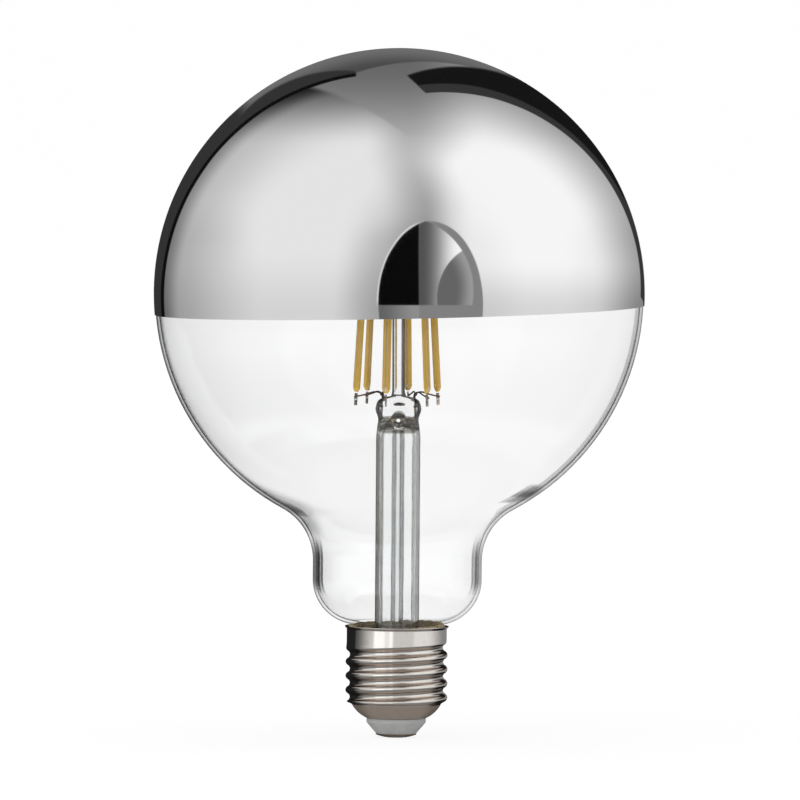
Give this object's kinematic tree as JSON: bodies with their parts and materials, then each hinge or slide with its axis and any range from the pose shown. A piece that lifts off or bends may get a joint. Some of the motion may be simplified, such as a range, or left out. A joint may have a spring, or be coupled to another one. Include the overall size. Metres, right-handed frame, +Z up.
{
  "type": "led bulb",
  "caption": "Clear globe filament lamp with a mirrored upper half, upright LED strips on a glass stem and a screw cap.",
  "frame": {"origin": "tip of the centre contact, on the lamp's axis", "axes": "+Z up the lamp's axis from the contact to the top of the globe; -Y faces the viewer of the picture"},
  "size_m": [0.1258, 0.1258, 0.1766],
  "materials": {
    "clear_glass": "clear, fire-polished",
    "mirror_silver": "mirror film on the globe's upper half",
    "phosphor_yellow": "yellow phosphor in silicone",
    "tab_steel": "bare strip ends",
    "oxidised_wire": "darkened nickel wire",
    "seal_copper": "copper-clad seal wire",
    "cap_nickel": "bright nickel plate with fine scratches",
    "insulator_grey": "pale grey moulding",
    "contact_metal": "domed, lightly tarnished",
    "cap_cement": "grainy cement",
    "board_green": "circuit board",
    "capacitor_sleeve": "shrunk sleeve",
    "package_black": "moulded package",
    "coil_copper": "lacquered winding",
    "resistor_green": "lacquered barrel",
    "tinned_wire": "tinned wire"
  },
  "bodies": {
    "root": {"glass_envelope": "clear_glass", "mirror_coating": "mirror_silver", "stem_glass": "clear_glass", "exhaust_tube": "clear_glass", "support_rod": "clear_glass", "crown_ring": "tinned_wire", "inner_lead_left": "oxidised_wire", "inner_lead_right": "oxidised_wire", "seal_wire_left": "seal_copper", "seal_wire_right": "seal_copper", "outer_lead_left": "tinned_wire", "outer_lead_right": "tinned_wire", "screw_shell": "cap_nickel", "insulator": "insulator_grey", "centre_contact": "contact_metal", "basing_cement": "cap_cement", "driver_board": "board_green", "capacitor": "capacitor_sleeve", "rectifier": "package_black", "driver_chip": "package_black", "inductor": "coil_copper", "fusible_resistor": "resistor_green", "contact_wire": "tinned_wire", "shell_wire": "tinned_wire", "led_strip_1": "phosphor_yellow", "strip_tab_top_1": "tab_steel", "strip_tab_bottom_1": "tab_steel", "led_strip_2": "phosphor_yellow", "strip_tab_top_2": "tab_steel", "strip_tab_bottom_2": "tab_steel", "led_strip_3": "phosphor_yellow", "strip_tab_top_3": "tab_steel", "strip_tab_bottom_3": "tab_steel", "led_strip_4": "phosphor_yellow", "strip_tab_top_4": "tab_steel", "strip_tab_bottom_4": "tab_steel", "led_strip_5": "phosphor_yellow", "strip_tab_top_5": "tab_steel", "strip_tab_bottom_5": "tab_steel", "led_strip_6": "phosphor_yellow", "strip_tab_top_6": "tab_steel", "strip_tab_bottom_6": "tab_steel"}
  },
  "joints": []
}
